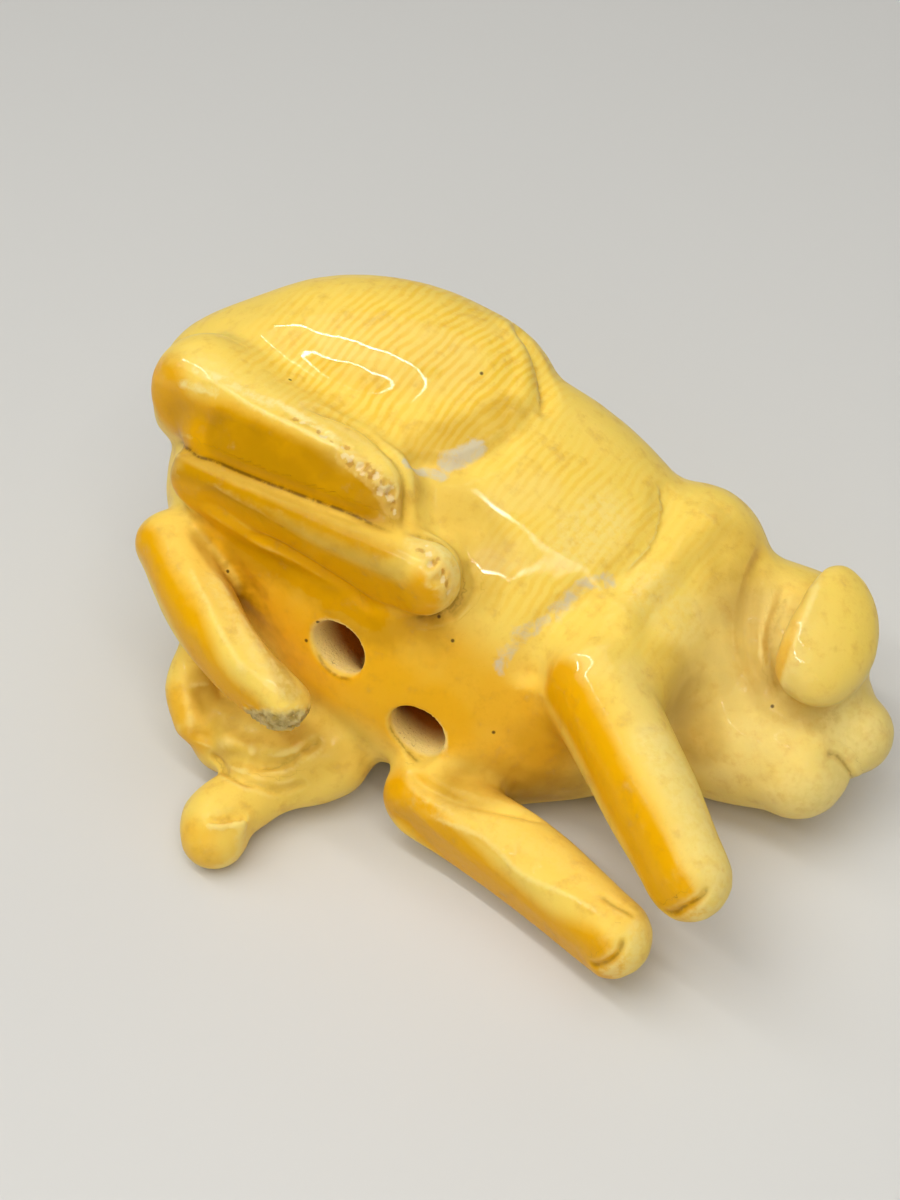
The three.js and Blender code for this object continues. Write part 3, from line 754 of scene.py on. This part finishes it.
specks = [(-9.3, 12.9, 1.2), (1.9, 13.4, 0.1), (-13.3, 1.7, -1.1), (-0.6, -0.9, 2.7), (0.2, -2.3, 2.6),
          (2.6, -7.7, 1.1), (19.0, -6.2, 0.5), (-8.5, -2.4, 0.2), (-7.7, -1.3, 0.8)]
stripeStrokes = [
    ([(-7.0, 14.7, 0.5), (-1.8, 12.9, 0.7), (1.8, 13.0, 0.2)], 7.0, 0.85),
    ([(-1.0, 18.0, -4.0), (3.0, 15.6, -3.0)], 5.0, 0.9),
    ([(4.0, 9.0, 1.5), (6.4, 5.8, 2.0), (10.0, 5.9, 0.9), (5.0, 2.0, 2.6)], 5.0, 0.5),
    ([(14.8, 4.7, -0.6), (13.4, 0.0, 1.3), (9.6, -3.4, 4.6)], 4.0, 0.2),
]
# olive patches: painted shade under overhangs, beside the ears and on turned-away sides, with some dirt
shadeAndDirtStrokes = [
    ([(-16.4, 8.2, 0.2), (-14.5, 7.5, 2.2), (-10.9, 5.7, 3.8), (-6.8, 3.7, 5.2), (-3.4, 2.2, 6.1)], 1.5, 0.5),
    ([(-13.0, 2.6, 0.5), (-8.5, 0.6, 1.8), (-4.5, -1.8, 2.0), (-1.0, -2.0, 2.5)], 1.4, 0.45),
    ([(-14.9, 3.6, -0.9), (-12.9, 0.6, 0.5), (-11.0, -2.3, 2.1), (-9.2, -5.2, 3.4)], 0.9, 0.5),
    ([(6.6, -11.4, -2.0), (4.2, -11.3, -1.1), (1.2, -10.5, 1.7)], 2.6, 0.6),
    ([(5.3, -8.2, 0.7), (5.6, -9.6, 0.5)], 2.6, 0.25),
    ([(14.1, -5.3, 0.1), (14.8, -8.3, -0.2)], 2.2, 0.5),
    ([(17.5, -4.6, 0.1), (19.2, -6.4, 0.3), (22.0, -6.9, 0.6)], 1.2, 0.35),
    ([(-0.4, 6.3, 2.4), (1.8, 3.6, 2.7), (1.6, 1.0, 2.8)], 2.2, 0.3),
    ([(-9.8, -10.2, -1.8), (-6.4, -8.2, -2.0)], 2.4, 0.3),
    ([(-14.4, -5.5, -3.2), (-13.9, -7.2, -3.0)], 1.6, 0.5),
    ([(17.5, 1.5, -0.9), (17.3, -2.0, 0.0), (18.3, -4.6, 0.3)], 2.0, 0.45),
    ([(-13.2, 9.6, 2.2), (-9.2, 8.0, 3.4), (-5.5, 6.4, 4.2), (-3.8, 5.4, 4.7)], 2.0, 0.7),
    ([(-16.0, 10.4, 0.2), (-14.6, 9.9, 1.2), (-12.6, 9.2, 2.4)], 2.2, 0.35),
    ([(-1.6, 9.3, 2.6), (1.2, 9.9, 2.0), (3.4, 11.2, 1.2)], 1.8, 0.4),
    ([(-12.6, 7.0, 3.0), (-9.3, 5.3, 4.3), (-5.9, 4.0, 5.3)], 1.2, 0.4),
    ([(11.8, -3.9, 1.8), (13.4, -5.2, 0.8)], 2.2, 0.3),
    ([(17.0, 2.5, -1.0), (17.0, -2.5, 0.0), (14.6, -5.6, 0.2)], 3.5, 0.25),
    ([(-14.0, -8.4, -3.1), (-12.4, -9.2, -2.5)], 1.8, 0.3),
]


carveLines()


shade = {
    "seed": 7,
    "reach": 4.0,           # mm, how far a look goes before it counts as open sky
    "looks": 10,            # from each point
    "lift": 0.06,           # mm, off the surface
    "hollowRounds": 3,
    "edgeRounds": 5,
    "soleRounds": 4,
    "seamReach": 0.9,       # mm
    "seamNotPaled": 1.5,
    "farOff": 9,
}


def paintSkin():
    for name, strokes in (("stain", stainStrokes), ("bone", boneStrokes), ("chalk", chalkStrokes),
                          ("chip", chipStrokes), ("stripe", stripeStrokes), ("oliveShadeAndDirt", shadeAndDirtStrokes),
                          ("broken", breakStrokes), ("rubbedAndHighlit", wearAndHighlightStrokes), ("gloss", glossStrokes)):
        channel(name)
        for knots, width, amount in strokes:
            brush(name, knots, width, amount, touch["brushEdge"])
    channel("chipped")
    channel("flecked")
    for index, (spot, width) in enumerate(chips):
        brush("flecked" if index % 2 else "chipped", [spot], width, 1.0, touch["chipEdge"])


def paintSeams():
    # how far each point is from the nearest dark line, below zero on one side of it
    seamOff = channel("seamOff", shade["farOff"])
    seamShow = channel("seamShow")
    for knots, *_, dirt in carvedLines.values():
        if dirt == 0:
            continue
        which, off, along, side, _ = skin.near(knots, shade["seamReach"])
        closer = off < np.abs(seamOff[which])
        seamOff[which[closer]] = (off * side)[closer]
        seamShow[which[closer]] = fade(along, touch["lineEnds"])[closer] * dirt


def paintHollowShade():
    # how much of the sky each point misses, painted as shade in the hollows, and how sharp an edge it sits
    # on, painted paler as wear and highlight
    chance = np.random.default_rng(shade["seed"])
    reach, count = shade["reach"], shade["looks"]
    occlusionShade = channel("occlusionShade")
    for index, (spot, facing) in enumerate(zip(skin.points, skin.facings)):
        start = Vector(spot + facing * shade["lift"])
        looks = chance.normal(size=(count, 3))
        looks /= np.linalg.norm(looks, axis=1)[:, None]
        blocked = 0
        for look in looks + facing:
            hit = skin.tree.ray_cast(start, Vector(look), reach)
            if hit[3] is not None:
                blocked += 1 - hit[3] / reach
        occlusionShade[index] = blocked / count
    occlusionShade[:] = spread(occlusionShade, shade["hollowRounds"])
    eased = np.column_stack([spread(skin.points[:, axis], shade["edgeRounds"]) for axis in range(3)])
    paints["edge"] = -np.einsum("ij,ij->i", eased - skin.points, skin.facings)
    paints["edge"][skin.near(seamEdges[0], shade["seamNotPaled"])[0]] = 0


def paintSoles():
    # how squarely each point faces the way the soles do
    facing = np.column_stack([spread(skin.facings[:, axis], shade["soleRounds"]) for axis in range(3)])
    paints["sole"] = facing @ np.array(stance["soleFacing"])


def paintHoles():
    # the wall of each cord hole, pale at the rim and darker farther in as painted shade
    inside = channel("bore")
    dark = channel("boreDepthShade")
    way, narrow, wide = holeAxes()
    drawnOut, drawnIn = cordHoles["unsqueeze"]
    flareDepth, flare = cordHoles["wallFlare"]
    (rimDepth, rimFade), (darkDepth, darkFade) = cordHoles["rim"], cordHoles["dark"]
    notPaledAcross, notPaledAlong = cordHoles["edgeNotPaled"]
    for middle in cordHoles["middles"]:
        gap = skin.points - middle
        gap = gap + narrow * (gap @ narrow * drawnOut)[:, None] - wide * (gap @ wide * drawnIn)[:, None]
        depth = gap @ way
        radius = np.linalg.norm(gap - depth[:, None] * way, axis=1)
        reach = cordHoles["wallRadius"] + flare * np.clip(depth - flareDepth, 0, 1)
        mask = np.clip((reach - radius) / cordHoles["wallEdge"], 0, 1)
        mask *= np.clip((depth - rimDepth) / rimFade, 0, 1)
        mask[depth > cordHoles["deepest"]] = 0
        paints["edge"][(radius < notPaledAcross) & (np.abs(depth) < notPaledAlong)] = 0
        inside[:] = np.maximum(inside, mask)
        dark[:] = np.maximum(dark, mask * np.clip((depth - darkDepth) / darkFade, 0, 1))


paintSkin()
paintSeams()
paintHollowShade()
paintSoles()
paintHoles()
print("stain and wear painted:", ", ".join(paints))


def thin():
    # fewer triangles where the surface is plain; two for each point of the even mesh
    pick(carving)
    bpy.ops.object.modifier_add(type="DECIMATE")
    carving.modifiers[-1].ratio = block["triangles"] / (2 * len(carving.data.vertices))
    bpy.ops.object.modifier_apply(modifier=carving.modifiers[-1].name)
    print("block thinned to", len(carving.data.polygons), "faces")


def settle():
    for name, paint in paints.items():
        layer = carving.data.attributes.new(name, "FLOAT", "POINT")
        layer.data.foreach_set("value", paint.astype(np.float32))
    thin()
    # back to the table's own axes and metres, the resting spots flat on the table
    spots = readPoints()
    spots = np.c_[spots, np.ones(len(spots))] @ np.array(carverToTable).T
    spots = np.clip(spots[:, :3], np.array(cadLow), np.array(cadHigh))
    writePoints(spots)


settle()


def addNode(tree, kind, links=None, **settings):
    node = tree.nodes.new(kind)
    for key, value in settings.items():
        setattr(node, key, value)
    for socket, value in (links or {}).items():
        if isinstance(value, bpy.types.NodeSocket):
            tree.links.new(value, node.inputs[socket])
        else:
            node.inputs[socket].default_value = value
    return node


def maths(tree, operation, first, second=0.5, third=0.0, clamp=False):
    links = {0: first, 1: second, 2: third}
    return addNode(tree, "ShaderNodeMath", links, operation=operation, use_clamp=clamp).outputs[0]


def mixed(tree, share, first, second):
    # first, covered by second as far as share says
    return addNode(tree, "ShaderNodeMix", {0: share, 6: first, 7: second}, data_type="RGBA").outputs[2]


def ramped(tree, value, low, high, toLow=0.0, toHigh=1.0):
    # eases from toLow to toHigh while value goes from low to high
    node = addNode(tree, "ShaderNodeMapRange", {0: value, 1: low, 2: high, 3: toLow, 4: toHigh},
                   interpolation_type="SMOOTHSTEP")
    return node.outputs[0]


def cloudy(tree, place, millimetres, detail, roughness=0.5, distortion=0.0):
    links = {"Vector": place, "Scale": 1000 / millimetres, "Detail": detail, "Roughness": roughness,
             "Distortion": distortion}
    return addNode(tree, "ShaderNodeTexNoise", links).outputs[0]


def painted(tree, name):
    return addNode(tree, "ShaderNodeAttribute", attribute_name=name).outputs["Fac"]


ivory = {
    "tones": {
        "pale": (250, 214, 98),
        "grain": (243, 192, 48),
        "deep": (238, 173, 0),
        "bone": (234, 208, 122),
        # olive: painted shade in the hollows and patches, and dirt along the carved lines
        "oliveShadeAndDirt": (168, 118, 0),
        "shade": (206, 142, 26),            # brownish clouds in the stain
        # rubbed: the pale of rubbed wear and of painted highlights
        "rubbedAndHighlit": (250, 226, 142),
        "pit": (170, 104, 34),
        "chipPale": (236, 196, 104),
        "fleck": (250, 230, 176),
        "brokenPale": (214, 194, 136),
        "brokenDark": (112, 92, 46),
        "chalk": (204, 200, 184),
        "line": (74, 42, 8),
        "speck": (52, 28, 12),
        "boreWall": (250, 218, 132),
        "boreDepthShade": (150, 78, 14),
        "shine": (255, 222, 120),
    },
    "cloudSize": 2.6,                       # mm, from the broad mottling to the finest
    "blotSize": 1.1,
    "fineSize": 0.5,
    "gritSize": 0.2,
    "stripeGap": 0.56,                      # mm
    "stripeWay": (0.78, -0.62, 0.1),        # across the layers, in the carver's frame
    "stripeWander": [(5.0, 1, 0.0014), (1.0, 2, 0.00035)],  # size in mm, detail, and how far in m
    "stainOffSole": 0.25,                   # share of the stain that shows off the soles
    "blotShow": 0.3,
    "gritShow": 0.12,
    "occlusionShadeShow": 0.85,
    "wornAndLitShow": 0.5,
    "boreGritShow": 0.7,
    "chipShow": 0.45,
    "pitShow": 0.5,
    "fleckShow": 0.6,
    "brokenShow": 0.85,
    "chalkSize": 0.8,
    "chalkShow": 0.7,
    "seamSoft": (0.38, 0.0, 0.8),           # mm off the line where it starts and is full, and how strong
    "seamCore": (0.15, 0.03, 1.2),
    "speckSize": (0.00015, 0.00006),        # m
    "speckShow": 0.85,
    "leastRoughness": 0.28,
    "fineRoughness": 0.25,                  # added by the fine mottling
    "brokenRoughness": 0.3,
    "specular": 0.15,
    "plainCoat": 0.12,
    "glossCoat": 0.75,
    "coatRoughness": 0.05,
    "glow": 0.2,
    "glowRadius": (1.0, 0.55, 0.15),
    "glowScale": 0.0008,                    # m
    "waveSize": 1.7,                        # mm, then heights in mm
    "waveHeight": 0.055,
    "fineHeight": 0.022,
    "layerHeight": 0.006,
    "seamHeight": -0.06,
    "brokenHeight": 0.25,
    "boreHeight": 0.08,
    "chalkHeight": 0.02,
}


def mottleIvory(tree, place):
    return {"cloud": cloudy(tree, place, ivory["cloudSize"], 3),
            "blot": cloudy(tree, place, ivory["blotSize"], 4, 0.6),
            "fine": cloudy(tree, place, ivory["fineSize"], 4, 0.6),
            "grit": cloudy(tree, place, ivory["gritSize"], 3, 0.65)}


def layerIvory(tree, place, mottle):
    # the layers of the tusk, where the strokes say they show
    way = layDown @ Vector(ivory["stripeWay"]).normalized()
    across = addNode(tree, "ShaderNodeVectorMath", {0: place, 1: way}, operation="DOT_PRODUCT")
    wander = across.outputs["Value"]
    for size, detail, far in ivory["stripeWander"]:
        wander = maths(tree, "MULTIPLY_ADD", cloudy(tree, place, size, detail), far, wander)
    wave = maths(tree, "SINE", maths(tree, "MULTIPLY", wander, 2 * math.pi * 1000 / ivory["stripeGap"]))
    patchy = ramped(tree, mottle["cloud"], 0.32, 0.62, 0.3, 0.85)
    layers = maths(tree, "MULTIPLY", ramped(tree, wave, -0.7, 0.9), patchy)
    return maths(tree, "MULTIPLY", layers, painted(tree, "stripe"))


def stainIvory(tree, mottle, tone, layers):
    # stain, bare bone and brownish clouds
    cloud, grit = mottle["cloud"], mottle["grit"]
    colour = mixed(tree, layers, tone["pale"], tone["grain"])
    sole = ramped(tree, painted(tree, "sole"), 0.2, 0.75)
    sole = maths(tree, "MULTIPLY_ADD", sole, 1 - ivory["stainOffSole"], ivory["stainOffSole"])
    stain = maths(tree, "MULTIPLY", painted(tree, "stain"), sole)
    stain = maths(tree, "MULTIPLY", stain, ramped(tree, cloud, 0.1, 0.6, 0.95, 1.2), clamp=True)
    colour = mixed(tree, stain, colour, tone["deep"])
    bone = maths(tree, "MULTIPLY", painted(tree, "bone"), ramped(tree, cloud, 0.2, 0.7, 0.6, 0.95))
    bone = maths(tree, "MULTIPLY", bone, maths(tree, "SUBTRACT", 1.0, stain))
    colour = mixed(tree, bone, colour, tone["bone"])
    blots = ramped(tree, mottle["blot"], 0.48, 0.75, 0.0, ivory["blotShow"])
    colour = mixed(tree, blots, colour, tone["shade"])
    return mixed(tree, ramped(tree, grit, 0.58, 0.75, 0.0, ivory["gritShow"]), colour, tone["shade"])


def shadeAndWearIvory(tree, mottle, tone, colour):
    # painted shade and dirt in olive, where the sky is hidden and in patches; paler sharp edges and streaks,
    # as rubbed wear and painted highlights
    fine = mottle["fine"]
    # olive patches: painted shade, with some dirt
    oliveShadeAndDirt = maths(tree, "MULTIPLY", painted(tree, "oliveShadeAndDirt"), ramped(tree, mottle["cloud"], 0.2, 0.6, 0.5, 1.0))
    colour = mixed(tree, oliveShadeAndDirt, colour, tone["oliveShadeAndDirt"])
    # olive where the sky is hidden: painted shade in the hollows and undersides
    occlusionShade = maths(tree, "MULTIPLY_ADD", fine, 0.12, painted(tree, "occlusionShade"))
    occlusionShade = ramped(tree, occlusionShade, 0.2, 0.62, 0.0, ivory["occlusionShadeShow"])
    colour = mixed(tree, occlusionShade, colour, tone["oliveShadeAndDirt"])
    # sharp edges painted paler: rubbed wear and painted highlights
    wornAndLitEdge = maths(tree, "MULTIPLY_ADD", fine, 0.03, painted(tree, "edge"))
    wornAndLitEdge = ramped(tree, wornAndLitEdge, 0.025, 0.07, 0.0, ivory["wornAndLitShow"])
    colour = mixed(tree, wornAndLitEdge, colour, tone["rubbedAndHighlit"])
    # pale streaks: rubbed wear and painted highlights
    rubbedAndHighlit = maths(tree, "MULTIPLY", painted(tree, "rubbedAndHighlit"), ramped(tree, fine, 0.35, 0.6, 0.25, 1.0))
    return mixed(tree, rubbedAndHighlit, colour, tone["rubbedAndHighlit"])


def boreIvory(tree, mottle, tone, colour, bore):
    # the walls of the cord holes, darker deeper in as painted shade
    wall = mixed(tree, painted(tree, "boreDepthShade"), tone["boreWall"], tone["boreDepthShade"])
    gritty = ramped(tree, mottle["grit"], 0.62, 0.7, 0.0, ivory["boreGritShow"])
    wall = mixed(tree, gritty, wall, tone["pit"])
    return mixed(tree, bore, colour, wall)


def chipIvory(tree, mottle, tone, colour, chip, broken):
    # chipped tips and the broken end
    blot, fine, grit = mottle["blot"], mottle["fine"], mottle["grit"]
    pitted = ramped(tree, maths(tree, "MULTIPLY_ADD", grit, 0.9, painted(tree, "chipped")), 0.75, 1.3)
    flecked = ramped(tree, maths(tree, "MULTIPLY_ADD", grit, 0.9, painted(tree, "flecked")), 0.75, 1.2)
    colour = mixed(tree, maths(tree, "MULTIPLY", chip, ivory["chipShow"]), colour, tone["chipPale"])
    colour = mixed(tree, maths(tree, "MULTIPLY", pitted, ivory["pitShow"]), colour, tone["pit"])
    colour = mixed(tree, maths(tree, "MULTIPLY", flecked, ivory["fleckShow"]), colour, tone["fleck"])
    crumb = maths(tree, "MULTIPLY_ADD", blot, 0.8, maths(tree, "MULTIPLY", fine, 0.5))
    crumbTone = mixed(tree, ramped(tree, crumb, 0.45, 0.75), tone["brokenDark"], tone["brokenPale"])
    return mixed(tree, maths(tree, "MULTIPLY", broken, ivory["brokenShow"]), colour, crumbTone)


def seamIvory(tree, tone, colour, off, show, soft):
    # dark lines: a soft border, then a narrow core
    colour = mixed(tree, soft, colour, tone["oliveShadeAndDirt"])
    start, full, strength = ivory["seamCore"]
    core = ramped(tree, off, start, full, 0.0, strength)
    core = maths(tree, "MULTIPLY", core, maths(tree, "MULTIPLY", show, show), clamp=True)
    return mixed(tree, core, colour, tone["line"])


def speckIvory(tree, place, tone, colour):
    outer, inner = ivory["speckSize"]
    for spot in specks:
        centre = onTable(skin.laid([spot])[0])
        away = addNode(tree, "ShaderNodeVectorMath", {0: place, 1: centre}, operation="DISTANCE")
        dot = ramped(tree, away.outputs["Value"], outer, inner, 0.0, ivory["speckShow"])
        colour = mixed(tree, dot, colour, tone["speck"])
    return colour


def makeIvory():
    material = bpy.data.materials.new("stained_ivory")
    material.use_nodes = True
    tree = material.node_tree
    shader = tree.nodes["Principled BSDF"]
    tone = {name: tint(*value) for name, value in ivory["tones"].items()}
    place = addNode(tree, "ShaderNodeTexCoord").outputs["Object"]
    mottle = mottleIvory(tree, place)
    fine = mottle["fine"]

    # where each finish lies
    layers = layerIvory(tree, place, mottle)
    bore = painted(tree, "bore")
    chip = ramped(tree, maths(tree, "MULTIPLY_ADD", fine, 0.9, painted(tree, "chip")), 0.75, 1.3)
    broken = maths(tree, "MULTIPLY_ADD", mottle["blot"], 1.6, painted(tree, "broken"))
    broken = ramped(tree, broken, 0.95, 1.9)
    flakes = cloudy(tree, place, ivory["chalkSize"], 4, 0.6, 0.6)
    flaky = maths(tree, "MULTIPLY_ADD", flakes, 1.4, painted(tree, "chalk"))
    chalk = ramped(tree, flaky, 1.0, 1.6, 0.0, ivory["chalkShow"])
    off = maths(tree, "ABSOLUTE", painted(tree, "seamOff"))
    show = maths(tree, "MULTIPLY", painted(tree, "seamShow"), ramped(tree, fine, 0.3, 0.55, 0.4, 1.0))
    start, full, strength = ivory["seamSoft"]
    soft = maths(tree, "MULTIPLY", ramped(tree, off, start, full, 0.0, strength), show, clamp=True)

    # the colour, from the stain up
    colour = stainIvory(tree, mottle, tone, layers)
    colour = shadeAndWearIvory(tree, mottle, tone, colour)
    colour = boreIvory(tree, mottle, tone, colour, bore)
    colour = chipIvory(tree, mottle, tone, colour, chip, broken)
    colour = mixed(tree, chalk, colour, tone["chalk"])
    colour = seamIvory(tree, tone, colour, off, show, soft)
    colour = speckIvory(tree, place, tone, colour)
    tree.links.new(colour, shader.inputs["Base Color"])

    # dull breaks, chips, residue and cord holes under a coat that is glossy only in places
    crumbly = maths(tree, "MAXIMUM", chip, broken)
    rough = maths(tree, "MULTIPLY_ADD", fine, ivory["fineRoughness"], ivory["leastRoughness"])
    rough = maths(tree, "ADD", rough, maths(tree, "MULTIPLY", crumbly, ivory["brokenRoughness"]))
    tree.links.new(rough, shader.inputs["Roughness"])
    dull = maths(tree, "MAXIMUM", crumbly, maths(tree, "MAXIMUM", chalk, bore))
    coat = maths(tree, "MULTIPLY_ADD", painted(tree, "gloss"), ivory["glossCoat"], ivory["plainCoat"])
    coat = maths(tree, "MULTIPLY", coat, maths(tree, "SUBTRACT", 1.0, dull, clamp=True))
    tree.links.new(coat, shader.inputs["Coat Weight"])
    shader.inputs["Coat Roughness"].default_value = ivory["coatRoughness"]
    shader.inputs["Specular IOR Level"].default_value = ivory["specular"]
    shader.inputs["Specular Tint"].default_value = tone["shine"]
    shader.inputs["Subsurface Weight"].default_value = ivory["glow"]
    shader.inputs["Subsurface Radius"].default_value = ivory["glowRadius"]
    shader.inputs["Subsurface Scale"].default_value = ivory["glowScale"]

    height = maths(tree, "MULTIPLY", cloudy(tree, place, ivory["waveSize"], 2), ivory["waveHeight"])
    reliefs = {"fineHeight": fine, "layerHeight": layers, "seamHeight": soft,
               "brokenHeight": maths(tree, "MULTIPLY", fine, broken),
               "boreHeight": maths(tree, "MULTIPLY", mottle["grit"], bore), "chalkHeight": chalk}
    for name, relief in reliefs.items():
        height = maths(tree, "MULTIPLY_ADD", relief, ivory[name], height)
    bump = addNode(tree, "ShaderNodeBump", {"Height": height, "Distance": 0.001, "Strength": 1.0})
    tree.links.new(bump.outputs[0], shader.inputs["Normal"])
    carving.data.materials.append(material)


makeIvory()
print("ivory finished")

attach(carving, "root")
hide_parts("netsuke_dog")
